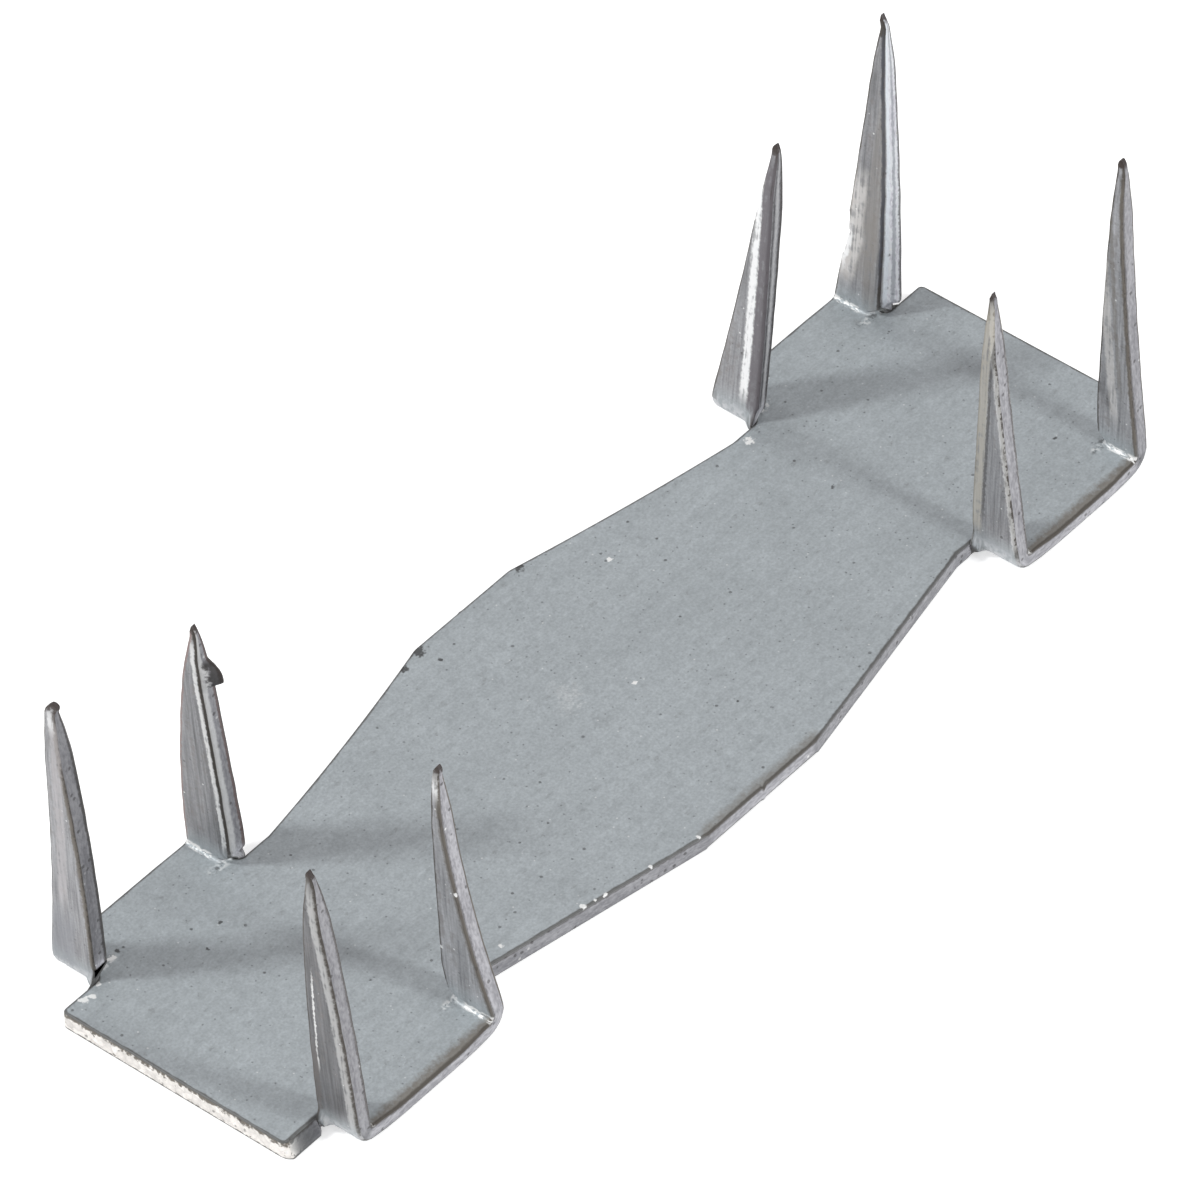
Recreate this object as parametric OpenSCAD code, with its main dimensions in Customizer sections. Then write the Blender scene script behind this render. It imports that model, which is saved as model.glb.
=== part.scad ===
// Truss nail plate: a flat strip of galvanised steel with eight teeth.
// The teeth are slit from the edges of the strip and folded up square to it.
// Lengths are in millimetres and angles in degrees. The plate lies on its back,
// centred on the origin, with its long side along X and its teeth pointing up.

/* [Plate] */
// Length over the two end tabs
plate_l = 76.2; // [71:0.1:92]
// Width of the strip that the plate is cut from
plate_w = 22.2; // [19.5:0.1:40]
// Thickness of the sheet
sheet_t = 1.2; // [0.8:0.05:1.6]
// Width of the end tabs
tab_w = 16; // [12:0.1:17]
// Distance that the tabs sit off the middle of the strip, towards -Y
tab_shift = 0.2; // [0:0.05:0.4]
// Radius of the worn corners of the end tabs
tab_corner_r = 0.3; // [0.1:0.1:1]
// Straight length left on each side at the middle
middle_l = 9.6; // [4:0.1:14]
// Distance that this length sits off the middle of the plate, towards +X
middle_shift = 0.4; // [0:0.1:1]
// Depth of the hollow in each slanted side, between the middle and the waist
slant_hollow = 0.1; // [0.05:0.05:0.6]
// Width across the two waists
waist_w = 15.7; // [12:0.1:17]
// Length of each waist before its side slants out to the middle
waist_l = 3.6; // [3:0.1:6]
// Radius of the corner where a slit ends at the root of a tooth
slit_r = 1.1; // [0.6:0.1:1.2]
// Radius of the rolled corners along the side of the strip at -Y
roll_r = 0.4; // [0.1:0.05:0.4]
// Radius of the crisper corners along the side at +Y
crisp_r = 0.15; // [0.05:0.05:0.4]

/* [Roots of the teeth] */
// Distance from the middle of the plate to the folds of the inner teeth
inner_fold_x = 24.1; // [20:0.1:26]
// Distance from the middle of the plate to the folds of the outer teeth
outer_fold_x = 33.8; // [30:0.1:34]
// Inside radius of the folds
fold_r = 0.3; // [0.2:0.05:0.8]
// Length from each fold back to where its outside starts to curve, as the sheet stretches thin
stretch_l = 0.9; // [0.3:0.1:1.2]

/* [Teeth] */
// Length of the longest inner tooth above its fold
inner_tooth_l = 18.8; // [12:0.1:24]
// Length of the longest outer tooth above its fold
outer_tooth_l = 21.2; // [12:0.1:26]
// Length over which the end of a tooth thins down to its point
point_l = 3; // [1.5:0.1:5]
// Thickness of a tooth at its point
point_t = 0.3; // [0.1:0.05:0.6]
// Width of a tooth at its point
point_w = 0.4; // [0.2:0.05:0.8]

/* [Set of each tooth] */
// The four values go round the plate from the corner at -X and +Y, by way of +X and +Y
// Outward lean of the inner teeth
inner_lean = [5.5, 7.5, 1.4, 5.0]; // [-4:0.1:12]
// Outward lean of the outer teeth
outer_lean = [3.4, 4.5, 0.4, 6.1]; // [-4:0.1:12]
// Distance from the edge of the strip in to the points of the inner teeth
inner_point_in = [2.3, 2.4, 2.9, 2.85]; // [0.5:0.05:3]
// Distance from the edge of the strip in to the points of the outer teeth
outer_point_in = [1.65, 1.6, 2.15, 1.5]; // [0.5:0.05:3]
// Length that each inner tooth falls short of the longest
inner_short = [0.3, 0, 0.5, 0.3]; // [0:0.1:2]
// Length that each outer tooth falls short of the longest
outer_short = [0.4, 0.2, 0, 0.4]; // [0:0.1:2]
// Swell of the rims of the inner teeth, half way up, with a hollow as less than nothing
inner_swell = [0.3, -0.15, -0.1, -0.6]; // [-0.8:0.05:0.8]
// Swell of the rims of the outer teeth
outer_swell = [-0.3, 0.1, -0.3, 0.25]; // [-0.8:0.05:0.8]

/* [Hidden] */
$fn = 48;

waist_y = waist_w / 2;
edge_y = plate_w / 2;
end_x = plate_l / 2;
slant_x = inner_fold_x - waist_l;

// Height of the fold's centre line above the back of the plate
fold_z = sheet_t + fold_r;
// Length of plate that each tooth brings with it beside its fold
foot_l = sheet_t;
// Number of flats along a shallow curve
CURVE_STEPS = 6;
// Signs of X and Y for the corners, in the order of the values above
CORNERS = [[-1, 1], [1, 1], [1, -1], [-1, -1]];

// Moves what is drawn at +X and +Y to one of the four corners.
module at_corner(signs) {
    mirror([signs.x < 0 ? 1 : 0, 0, 0]) mirror([0, signs.y < 0 ? 1 : 0, 0]) children();
}

// Rounds an inside corner at the origin that opens towards +X and +Y.
module inside_corner(r) {
    difference() {
        square(r);
        translate([r, r]) circle(r);
    }
}

// Points from a to b along a shallow curve that swells by so much, at its middle, to the
// right of the way from a to b.
function swelled(a, b, swell) =
    let (along = b - a, right = [along.y, -along.x] / norm(along))
    [
        for (i = [0 : CURVE_STEPS])
            let (share = i / CURVE_STEPS)
                a + share * along + 4 * share * (1 - share) * swell * right
    ];

// Each slit lies along the side of the tab or waist that it frees the tooth from.
function tab_y(signs) = tab_w / 2 - signs.y * tab_shift;
function shoulder_x(signs) = middle_l / 2 + signs.x * middle_shift;

// A quarter of the flat outline: end tab, folds, waist, slanted side and middle.
module quarter_outline(signs) {
    difference() {
        polygon(concat(
            [
                [0, 0],
                [end_x, 0],
                [end_x, tab_y(signs)],
                [outer_fold_x, tab_y(signs)],
                [outer_fold_x, edge_y],
                [inner_fold_x, edge_y],
                [inner_fold_x, waist_y]
            ],
            swelled([slant_x, waist_y], [shoulder_x(signs), edge_y], -slant_hollow),
            [[0, edge_y]]
        ));
        translate([end_x, tab_y(signs)]) rotate(180) inside_corner(tab_corner_r);
    }
    translate([outer_fold_x, tab_y(signs)]) inside_corner(slit_r);
    translate([inner_fold_x, waist_y]) mirror([1, 0]) inside_corner(slit_r);
}

// The flat part of the plate.
module flat_plate() {
    linear_extrude(sheet_t)
        for (signs = CORNERS) at_corner(signs) quarter_outline(signs);
}

// What rolling takes off the two long corners of one side, between two places along X.
module rolled_off(from_x, to_x, r) {
    translate([from_x, 0, 0]) rotate([90, 0, 90])
        linear_extrude(to_x - from_x) {
            translate([edge_y, sheet_t]) rotate(180) inside_corner(r);
            translate([edge_y, 0]) mirror([1, 0]) inside_corner(r);
        }
}

// The sides of the strip that are left as they were: at the middle and between the teeth.
module rolled_sides() {
    for (signs = CORNERS) at_corner(signs) {
        r = signs.y < 0 ? roll_r : crisp_r;
        rolled_off(0, shoulder_x(signs), r);
        rolled_off(inner_fold_x, outer_fold_x, r);
    }
}

// Side view of one tooth: a foot, the fold and the blade. The sheet comes in from -X
// with its fold starting at X = 0, and turns up through the angle.
module tooth_side(turn, length) {
    translate([-foot_l, 0]) square([foot_l, sheet_t]);
    translate([0, fold_z]) {
        intersection() {
            difference() {
                circle(fold_r + sheet_t);
                circle(fold_r);
            }
            fold_sector(turn);
        }
        rotate(turn - 90)
            polygon([
                [fold_r, 0],
                [fold_r + sheet_t, 0],
                [fold_r + sheet_t, length - point_l],
                [fold_r + (sheet_t + point_t) / 2, length],
                [fold_r + (sheet_t - point_t) / 2, length],
                [fold_r, length - point_l]
            ]);
    }
}

// The part of the plane that the fold sweeps, from straight down round to the blade.
module fold_sector(turn) {
    reach = 2 * (fold_r + sheet_t);
    polygon([
        [0, 0],
        [0, -reach],
        [reach, -reach],
        [reach * cos(turn / 2 - 90), reach * sin(turn / 2 - 90)],
        [reach * cos(turn - 90), reach * sin(turn - 90)]
    ]);
}

// Side view of what the outside of a fold loses, where the sheet stretches round it.
module stretched_off(turn) {
    half = sin(90 - turn / 2);
    back = [cos(90 + turn / 2), sin(90 + turn / 2)];
    outside_r = fold_r + sheet_t + stretch_l;
    past_r = outside_r + sheet_t;
    centre = stretch_l / half * back;
    difference() {
        polygon([
            centre,
            centre - [0, past_r],
            centre - past_r / half * back,
            centre + past_r * [cos(turn - 90), sin(turn - 90)]
        ]);
        translate(centre) circle(outside_r);
    }
}

// Front view of one tooth, across the plate, drawn in from both sides to its point. The rim
// swells as it is told to. The slit side swells by a quarter of what it draws in, which makes
// it rise straight from the root.
module tooth_front(slit_y, point_y, length, swell) {
    top = fold_z + length;
    inner_y = point_y - point_w / 2;
    polygon(concat(
        [[slit_y, 0], [edge_y, 0]],
        swelled([edge_y, fold_z], [point_y + point_w / 2, top], swell),
        swelled([inner_y, top], [slit_y, fold_z], (inner_y - slit_y) / 4)
    ));
}

// One tooth at +X and +Y, folded from X = 0 towards +X.
module tooth(slit_y, point_in, turn, length, swell) {
    reach = fold_z + length;
    intersection() {
        translate([0, plate_w, 0]) rotate([90, 0, 0])
            linear_extrude(plate_w) tooth_side(turn, length);
        translate([-reach, 0, 0]) rotate([90, 0, 90])
            linear_extrude(2 * reach) tooth_front(slit_y, edge_y - point_in, length, swell);
    }
}

// What one fold at +X and +Y loses on its outside, from the slit to the side of the strip.
module fold_loss(slit_y, turn) {
    translate([0, edge_y, fold_z]) rotate([90, 0, 0])
        linear_extrude(edge_y - slit_y) stretched_off(turn);
}

// Places what belongs to an inner tooth, which folds towards the middle of the plate.
module at_inner_fold(signs) {
    at_corner(signs) translate([inner_fold_x, 0, 0]) mirror([1, 0, 0]) children();
}

// Places what belongs to an outer tooth, which folds towards the end of the plate.
module at_outer_fold(signs) {
    at_corner(signs) translate([outer_fold_x, 0, 0]) children();
}

// The inner teeth come out of the slanted sides and the outer ones from beside the tabs.
module teeth() {
    for (i = [0:3]) {
        at_inner_fold(CORNERS[i])
            tooth(waist_y, inner_point_in[i], 90 + inner_lean[i],
                  inner_tooth_l - inner_short[i], inner_swell[i]);
        at_outer_fold(CORNERS[i])
            tooth(tab_y(CORNERS[i]), outer_point_in[i], 90 - outer_lean[i],
                  outer_tooth_l - outer_short[i], outer_swell[i]);
    }
}

// What all eight folds lose.
module fold_losses() {
    for (i = [0:3]) {
        at_inner_fold(CORNERS[i]) fold_loss(waist_y, 90 + inner_lean[i]);
        at_outer_fold(CORNERS[i]) fold_loss(tab_y(CORNERS[i]), 90 - outer_lean[i]);
    }
}

module nail_plate() {
    color("lightsteelblue")
        difference() {
            union() {
                flat_plate();
                teeth();
            }
            rolled_sides();
            fold_losses();
        }
}

nail_plate();
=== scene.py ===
# %% [markdown]
# # A truss nail plate
# A truss nail plate joins timbers. It starts as a flat strip of galvanised sheet: a press slits eight
# long teeth out of it and folds them up, and the plate is then pressed into the wood. This lesson
# makes it the same way. A flat blank is drawn, given its thickness and its worn edges, and a Geometry
# Nodes tree folds the teeth. Lengths are in millimetres until the mesh is made.

# %% The frame that the piece has to fit
import math

import bpy
import numpy as np
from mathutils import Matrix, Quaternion, Vector, geometry, noise


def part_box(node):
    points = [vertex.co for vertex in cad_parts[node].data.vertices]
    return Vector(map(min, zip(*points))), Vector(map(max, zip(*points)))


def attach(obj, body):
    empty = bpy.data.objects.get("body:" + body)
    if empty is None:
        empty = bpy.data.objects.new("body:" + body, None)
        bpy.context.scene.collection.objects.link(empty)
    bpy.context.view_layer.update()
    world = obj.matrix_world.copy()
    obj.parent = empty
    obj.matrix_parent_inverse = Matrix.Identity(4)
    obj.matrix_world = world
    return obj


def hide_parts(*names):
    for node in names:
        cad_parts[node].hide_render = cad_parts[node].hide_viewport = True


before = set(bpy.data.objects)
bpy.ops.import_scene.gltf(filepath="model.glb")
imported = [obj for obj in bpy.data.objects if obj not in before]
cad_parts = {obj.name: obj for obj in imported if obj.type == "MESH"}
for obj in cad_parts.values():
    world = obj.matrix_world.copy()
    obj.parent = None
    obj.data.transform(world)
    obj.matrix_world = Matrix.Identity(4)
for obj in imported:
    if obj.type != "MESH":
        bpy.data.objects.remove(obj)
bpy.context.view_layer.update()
MM = 0.001
low, high = (Vector(corner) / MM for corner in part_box("nail_plate"))
print("plate", [round(v, 2) for v in high - low], "mm")

# %% [markdown]
# ## Sizes
# The overall sizes come from the frame, and the strip keeps a thousandth of a millimetre clear of it,
# so that rounding can't take it outside. The others are the places of the slits and folds. A corner of
# the plate is a quarter of it, and every list that is set by corner goes round the plate from the
# corner at -X and +Y.

# %% Sizes of the strip and its folds
SHEET_T = 1.2
END_X = (high.x - low.x) / 2
CLEAR = 0.001
EDGE_Y = (high.y - low.y) / 2 - CLEAR
CORNERS = [(-1, 1), (1, 1), (1, -1), (-1, -1)]
TAB_Y = [7.8, 7.8, 8.2, 8.2]
WAIST_Y = 7.85
WAIST_L = [3.6, 3.4, 2.8, 1.8]
SHOULDER_X = [3.9, 4.3, 4.7, 4.9]
SLANT_HOLLOW = [0.2, 0.15, 0.0, 0.0]
INNER_FOLD_X = [24.1, 24.1, 24.4, 24.1]
OUTER_FOLD_X = 33.8
print("strip", round(2 * EDGE_Y, 2), "wide and", round(2 * END_X, 2), "long")

# %% [markdown]
# The inner teeth are folded from beside the narrow waist and the outer ones from beside the end tabs.
# Their letters run from -X to +X along the +Y edge as A, B, E and F, and along the other edge as C, D,
# G and H. Every tooth came out of the press a little different: how many degrees it leans outward, how
# long it is, how far its point has drawn in from the strip's edge and how wide the point is. The rim
# swells a little, and holds its line longer on some teeth before it draws in. The sheared side is
# pushed in at the foot, draws in late or early, and is skewed where it is out of square with the face.
# The point is hooked to one side. The last two lists say how dark the face and the walls are: partly
# each tooth's own tone, and partly painted shade and light for the way it faces the lamps.

# %% How each tooth is set
LETTERS = "ABCDEFGH"
INNER_SET = {
    "letter": ["B", "E", "G", "D"],
    "lean": [5.5, 7.5, 1.4, 5.0],
    "length": [18.65, 18.8, 18.3, 18.5],
    "point_in": [2.3, 2.42, 2.93, 2.84],
    "point_w": [0.26, 0.42, 0.25, 0.45],
    "swell": [0.3, -0.15, -0.1, -0.6],
    "hold": [1.3, 1.0, 1.0, 1.0],
    "foot_in": [0.1, 0.0, 0.15, 0.35],
    "draw": [1.5, 2.0, 2.0, 2.0],
    "skew": [-0.35, -0.25, 0.0, 0.0],
    "hook": [0.1, 0.05, 0.0, 0.1],
    "dark": [0.38, 0.26, 0.27, 0.12],
    "wall_dark": [0.35, 0.42, 0.15, 0.05],
}
OUTER_SET = {
    "letter": ["A", "F", "H", "C"],
    "lean": [3.4, 4.5, 0.4, 6.1],
    "length": [20.8, 21.0, 21.15, 20.8],
    "point_in": [1.45, 1.75, 2.15, 1.52],
    "point_w": [0.7, 0.25, 0.45, 0.35],
    "swell": [-0.32, -0.1, -0.2, 0.25],
    "hold": [1.0, 1.0, 1.0, 1.0],
    "foot_in": [0.0, 0.0, 0.15, 0.0],
    "draw": [2.0, 2.0, 2.0, 2.0],
    "skew": [0.0, -0.9, 0.0, 0.0],
    "hook": [-0.35, 0.25, -0.1, -0.1],
    "dark": [0.22, 0.3, 0.17, 0.62],
    "wall_dark": [0.5, -0.85, 0.25, 0.3],
}
print("teeth round the plate:", list(zip(INNER_SET["letter"], OUTER_SET["letter"])))

# %% [markdown]
# A tooth has two sides: its rim was the strip's own edge, and its other side was sheared. Both wander a
# little. The rim of one tooth is chipped, and a curl of torn metal stands out beside the point of
# another. A tooth knows its fold too: one layer of the sheet keeps its length, so the length of the
# bend follows from that layer's radius and the turn.

# %% One tooth
FOLD_R = 0.3
NEUTRAL = 0.45
SLIT_PLAY = 0.03
WAVE_H = 0.035
WAVE_L = 1.3
CHIPPED = (1, 1)
CHIP_AT = 6.0
CHIP_L = 3.2
CHIP_DEPTH = 0.28
NUBBED = (0, -1)
NUB_AT = 16.25
NUB_L = 1.8
NUB_W = 0.85


class Tooth:
    """One tooth, lying flat in the frame of its corner, where x and y are positive."""

    def __init__(self, corner, inner):
        for name, values in (INNER_SET if inner else OUTER_SET).items():
            setattr(self, name, values[corner])
        self.corner = corner
        self.way = -1 if inner else 1
        self.fold_x = INNER_FOLD_X[corner] if inner else OUTER_FOLD_X
        self.slit_y = WAIST_Y if inner else TAB_Y[corner]
        self.turn = math.radians(90 + (self.lean if inner else -self.lean))
        self.bend_l = (FOLD_R + NEUTRAL * SHEET_T) * self.turn
        self.length += self.bend_l
        self.point_y = EDGE_Y - self.point_in
        self.number = LETTERS.index(self.letter) + 1

    def share(self, along):
        """How much of the way up the blade a place is, from the bend to the point."""
        return max(0, along - self.bend_l) / (self.length - self.bend_l)

    def rim_y(self, along):
        """The side that was the strip's own edge."""
        share = self.share(along)
        line = EDGE_Y + (self.point_y + self.point_w / 2 - EDGE_Y) * share**self.hold
        swelled = min(EDGE_Y, line + 4 * share * (1 - share) * self.swell)
        return swelled - self.wave(along, 1) * min(1, 6 * share) - self.chip(along)

    def sheared_y(self, along):
        """The side that was slit from the plate, which the punch pushes in a little at the foot."""
        share = self.share(along)
        start = self.slit_y + SLIT_PLAY
        drawn = start + (self.point_y - self.point_w / 2 - start) * share**self.draw
        pushed = drawn - self.foot_in * min(1, 8 * share) * (1 - share)
        return pushed + self.wave(along, 2) * min(1, 6 * share)

    def wave(self, along, side):
        """How far the cut wanders inward, from none to a few hundredths."""
        place = Vector((along / WAVE_L, 7.3 * self.corner, 3.1 * side + self.way))
        return WAVE_H * (0.5 + noise.noise(place))

    def chip(self, along):
        """How deep the rim is chipped, on the one tooth that was knocked."""
        if (self.corner, self.way) != CHIPPED:
            return 0
        reach = max(0, 1 - ((along - CHIP_AT) / (CHIP_L / 2))**2)
        return CHIP_DEPTH * reach**0.5 * (0.6 + 0.8 * abs(noise.noise(Vector((along * 2.2, 0, 5)))))

    def nub(self, along):
        """How far a curl of torn metal stands out behind the sheared side, on the one tooth that has it."""
        if (self.corner, self.way) != NUBBED:
            return 0
        return NUB_W * max(0, 1 - abs((along - NUB_AT) / (NUB_L / 2))**3)**0.5


teeth = {(corner, inner): Tooth(corner, inner) for corner in range(4) for inner in (True, False)}
print("teeth", [round(tooth.length, 2) for tooth in teeth.values()], "mm from the fold line")

# %% [markdown]
# ## The outlines
# The plate and each tooth have an outline of their own. Each stretch remembers how it was cut, because
# a rolled strip edge, a sheared slit and a cropped end wear differently. A slit ends a little past the
# fold line, inside the bend, so the two outlines meet at its end.

# %% Lines and curves of an outline
STEP = 0.22
SLIT_END = 1.1
TEAR_R = 0.25


def straight(start, end, kind, step=STEP, hollow=0):
    """Points along a line, without its last one. Each carries the kind of the stretch after it."""
    (x0, y0), (x1, y1) = start, end
    count = max(1, round(math.dist(start, end) / step))
    shares = [i / count for i in range(count)]
    return [(x0 + (x1 - x0) * s, y0 + (y1 - y0) * s - 4 * s * (1 - s) * hollow, kind) for s in shares]


def bend(points, kind, step=STEP / 2):
    """Points along a smooth curve through the given ones, without its last one."""
    out = []
    padded = [points[0]] + points + [points[-1]]
    for a, b, c, d in zip(padded, padded[1:], padded[2:], padded[3:]):
        count = max(2, round(math.dist(b, c) / step))
        for i in range(count):
            t = i / count
            weights = (-t + 2 * t**2 - t**3, 2 - 5 * t**2 + 3 * t**3, t + 4 * t**2 - 3 * t**3, t**3 - t**2)
            spot = [sum(w * p[axis] for w, p in zip(weights, (a, b, c, d))) / 2 for axis in (0, 1)]
            out.append((*spot, kind))
    return out


def edge_of(side, start, end, kind):
    """Points along one side of a tooth, without the last one."""
    count = round(abs(end - start) / STEP)
    places = [start + (end - start) * i / count for i in range(count)]
    return [(along, side(along), kind) for along in places]


def backwards(chain, end):
    """The same chain from the point that it stopped short of, without its first one."""
    points = [point[:2] for point in chain] + [end]
    return [(*point, before[2]) for point, before in zip(points[:0:-1], chain[::-1])]


def root_line(x, tooth):
    """The line where a tooth's outline meets the plate's, from the rim in to the end of the slit."""
    return straight((x, EDGE_Y), (x, tooth.slit_y + TEAR_R), "root", STEP / 2)


print("a point every", STEP, "mm along a cut, and every", STEP / 2, "round a curve")

# %% [markdown]
# A tooth is drawn lying flat, by how far each point is along it from the fold line. Its point is a
# blunt wedge.

# %% Outline of one tooth
POINT_L = 0.4
POINT_ROUND_L = 0.1
POINT_ROUND_W = 0.12
TORN_L = 1.0


def tooth_outline(tooth):
    """Round one tooth in (along, y), anticlockwise: up the slit, round the point and down the rim."""
    tip, rim, sheared = tooth.length, tooth.rim_y, tooth.sheared_y
    torn, neck = SLIT_END + TORN_L, (SLIT_END, tooth.slit_y + TEAR_R)
    out = root_line(SLIT_END, tooth)
    curve_end = SLIT_END + 1.5 * TEAR_R
    out += bend([neck, (SLIT_END + 0.4 * TEAR_R, neck[1] - 0.6 * TEAR_R), (curve_end, sheared(0))], "tear")
    out += edge_of(sheared, curve_end, torn, "tear")
    out += edge_of(sheared, torn, tip - POINT_L, "shear")
    inner, outer = sheared(tip - POINT_L), rim(tip - POINT_L)
    shoulder = tip - POINT_ROUND_L
    out += bend([(tip - POINT_L, inner), (shoulder, inner + POINT_ROUND_W), (tip, (inner + outer) / 2),
                 (shoulder, outer - POINT_ROUND_W), (tip - POINT_L, outer)], "point")
    out += edge_of(rim, tip - POINT_L, SLIT_END, "rim")
    return out


print("tooth outline of", len(tooth_outline(teeth[0, True])), "points")

# %% [markdown]
# The plate's outline is one corner after another. A corner runs from the middle of the plate's side,
# down the slanted edge that an inner tooth left behind to the end of its slit, along the strip's edge
# to the outer tooth, and back along that slit to the corner of the tab and the cropped end.

# %% Outline of the plate
TAB_ROUND = [(0.3, 0), (0.08, 0.1), (0, 0.35)]


def tear(tooth):
    """Round the end of a slit, from the plate's side of it to the root line."""
    x, y, r = tooth.fold_x + tooth.way * SLIT_END, tooth.slit_y, TEAR_R
    return [(x + tooth.way * 1.5 * r, y), (x + tooth.way * 0.4 * r, y + 0.3 * r), (x, y + r)]


def corner_outline(corner):
    """One corner of the plate, in the frame where x and y are positive."""
    inner, outer = teeth[corner, True], teeth[corner, False]
    shoulder, tab = SHOULDER_X[corner], TAB_Y[corner]
    edge = "crisp" if CORNERS[corner][1] > 0 else "rolled"
    slant_end = inner.fold_x - WAIST_L[corner]
    into, back = tear(inner), tear(outer)[::-1]
    out = straight((0, EDGE_Y), (shoulder, EDGE_Y), edge)
    out += straight((shoulder, EDGE_Y), (slant_end, WAIST_Y), "slit", hollow=SLANT_HOLLOW[corner])
    out += straight((slant_end, WAIST_Y), into[0], "slit")
    out += bend(into, "tear")
    out += backwards(root_line(into[-1][0], inner), into[-1])
    out += straight((into[-1][0], EDGE_Y), (back[0][0], EDGE_Y), edge)
    out += root_line(back[0][0], outer)
    out += bend(back, "tear")
    tab_corner = [(END_X - x, tab - y) for x, y in TAB_ROUND]
    out += straight(back[-1], tab_corner[0], "slit")
    out += bend(tab_corner, "crop")
    out += straight(tab_corner[-1], (END_X, 0), "crop")
    return out


def plate_outline():
    """The four corners end to end, anticlockwise from the middle of the right end."""
    out = []
    for corner in (1, 0, 3, 2):
        sx, sy = CORNERS[corner]
        part = [(sx * x, sy * y, kind) for x, y, kind in corner_outline(corner)]
        out += backwards(part, (sx * END_X, 0)) if sx * sy > 0 else part
    return out


print("plate outline of", len(plate_outline()), "points")

# %% [markdown]
# ## Filling an outline
# The faces of a sheet are flat, but its edges are not. Rings of points follow the outline closely, so
# that an edge can be rolled over, and looser rows fill the rest. A fold needs rows close together
# across it. Blender's own Delaunay triangulation joins them all up.

# %% Distances to an outline
CUTS = {"rolled", "crisp", "rim", "point", "shear", "slit", "tear", "crop"}
CHUNK = 2000


def distance(points, outline, kinds):
    """How far each point is from the nearest stretch of these kinds."""
    pairs = [(a[:2], b[:2]) for a, b in zip(outline, outline[1:] + outline[:1]) if a[2] in kinds]
    if not pairs:
        return np.full(len(points), np.inf)
    starts = np.array([a for a, b in pairs])
    span = np.array([b for a, b in pairs]) - starts
    square = np.maximum((span**2).sum(axis=1), 1e-12)
    out = []
    for chunk in np.array_split(points, len(points) // CHUNK + 1):
        offset = chunk[:, None] - starts
        share = np.clip((offset * span).sum(axis=2) / square, 0, 1)
        out.append(np.linalg.norm(offset - share[..., None] * span, axis=2).min(axis=1))
    return np.concatenate(out)


def inside(points, outline):
    """Which points lie inside, by counting the crossings to the right of each."""
    x0, y0 = np.array([p[:2] for p in outline]).T
    x1, y1 = np.roll(x0, -1), np.roll(y0, -1)
    rise = np.where(y1 == y0, 1, y1 - y0)
    x, y = points[:, :1], points[:, 1:]
    crossing = ((y0 > y) != (y1 > y)) & (x < x0 + (y - y0) * (x1 - x0) / rise)
    return crossing.sum(axis=1) % 2 == 1


print("kinds of cut", sorted(CUTS))

# %% [markdown]
# The rings lie close together near a cut and further apart as they go in. The rows fill what is left.

# %% Rings and rows
RINGS = [0.03, 0.08, 0.15, 0.25, 0.38, 0.55, 0.75, 1.0]
SPARSE_FROM = 0.5


def ring_points(outline):
    """Copies of the cut stretches moved inward, with how far, thinned out as they go in."""
    out = []
    for inset in RINGS:
        for i in range(0, len(outline), 1 if inset < SPARSE_FROM else 2):
            (x, y, kind), following = outline[i], outline[(i + 1) % len(outline)]
            (x0, y0, _), (x1, y1, _) = outline[i - 1], following
            if kind != "root":
                direction = Vector((x1 - x0, y1 - y0)).normalized()
                out.append((x - direction.y * inset, y + direction.x * inset, inset))
    return out


def row_points(outline, step_at):
    """Staggered rows over the outline's box, as close together as step_at asks for at each x."""
    xs, ys = [p[0] for p in outline], [p[1] for p in outline]
    x, column, out = min(xs), 0, []
    while x < max(xs):
        step_x, step_y = step_at(x)
        rows = math.ceil((max(ys) - min(ys)) / step_y)
        out += [(x, min(ys) + (row + column % 2 / 2) * step_y, 0) for row in range(rows)]
        x += step_x
        column += 1
    return out


print("rings at", RINGS, "mm from each cut")

# %% [markdown]
# A point that would crowd the outline or an earlier point is left out, so that the triangles stay even.
# A coarse grid of squares finds the earlier points near by.

# %% Triangles
RING_SLACK = 0.95
ROWS_CLEAR = 0.3
ROOT_CLEAR = 0.06
GRID = 0.2
RING_SPACE = 0.6
ROW_SPACE = 0.1
BEND_REACH = 1.2
TOOTH_BEND_END = 1.7


def fill(outline, step_at):
    """Points and triangles of a filled outline, which starts with the outline's own points."""
    wanted = np.array(ring_points(outline) + row_points(outline, step_at))
    spots, inset = wanted[:, :2], wanted[:, 2]
    least = np.where(inset > 0, RING_SLACK * inset, ROWS_CLEAR)
    good = inside(spots, outline) & (distance(spots, outline, CUTS) > least)
    good &= distance(spots, outline, {"root"}) > ROOT_CLEAR
    kept, cells = [p[:2] for p in outline], {}
    for (x, y), ring in zip(spots[good].tolist(), inset[good]):
        space = RING_SPACE * min(ring, GRID) if ring else ROW_SPACE
        column, row = math.floor(x / GRID), math.floor(y / GRID)
        near = [q for i in (-1, 0, 1) for j in (-1, 0, 1) for q in cells.get((column + i, row + j), ())]
        if all(math.dist((x, y), q) > space for q in near):
            cells.setdefault((column, row), []).append((x, y))
            kept.append((x, y))
    loop = [(i, (i + 1) % len(outline)) for i in range(len(outline))]
    spots, _, triangles, *_ = geometry.delaunay_2d_cdt([Vector(p) for p in kept], loop, [], 1, 1e-6)
    return np.array([tuple(p) for p in spots]), triangles


def plate_steps(x):
    """Close rows where the plate runs into a fold, loose ones elsewhere."""
    to_fold = min(abs(abs(x) - tooth.fold_x) for tooth in teeth.values())
    return (0.2, 0.35) if to_fold < BEND_REACH else (0.9, 0.9)


def tooth_steps(along):
    """Close rows through the bend, loose ones up the tooth."""
    return (0.1, 0.22) if along < TOOTH_BEND_END else (0.35, 0.4)


print("rows on the plate", plate_steps(0), "mm apart, and at a fold", plate_steps(OUTER_FOLD_X))

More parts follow.
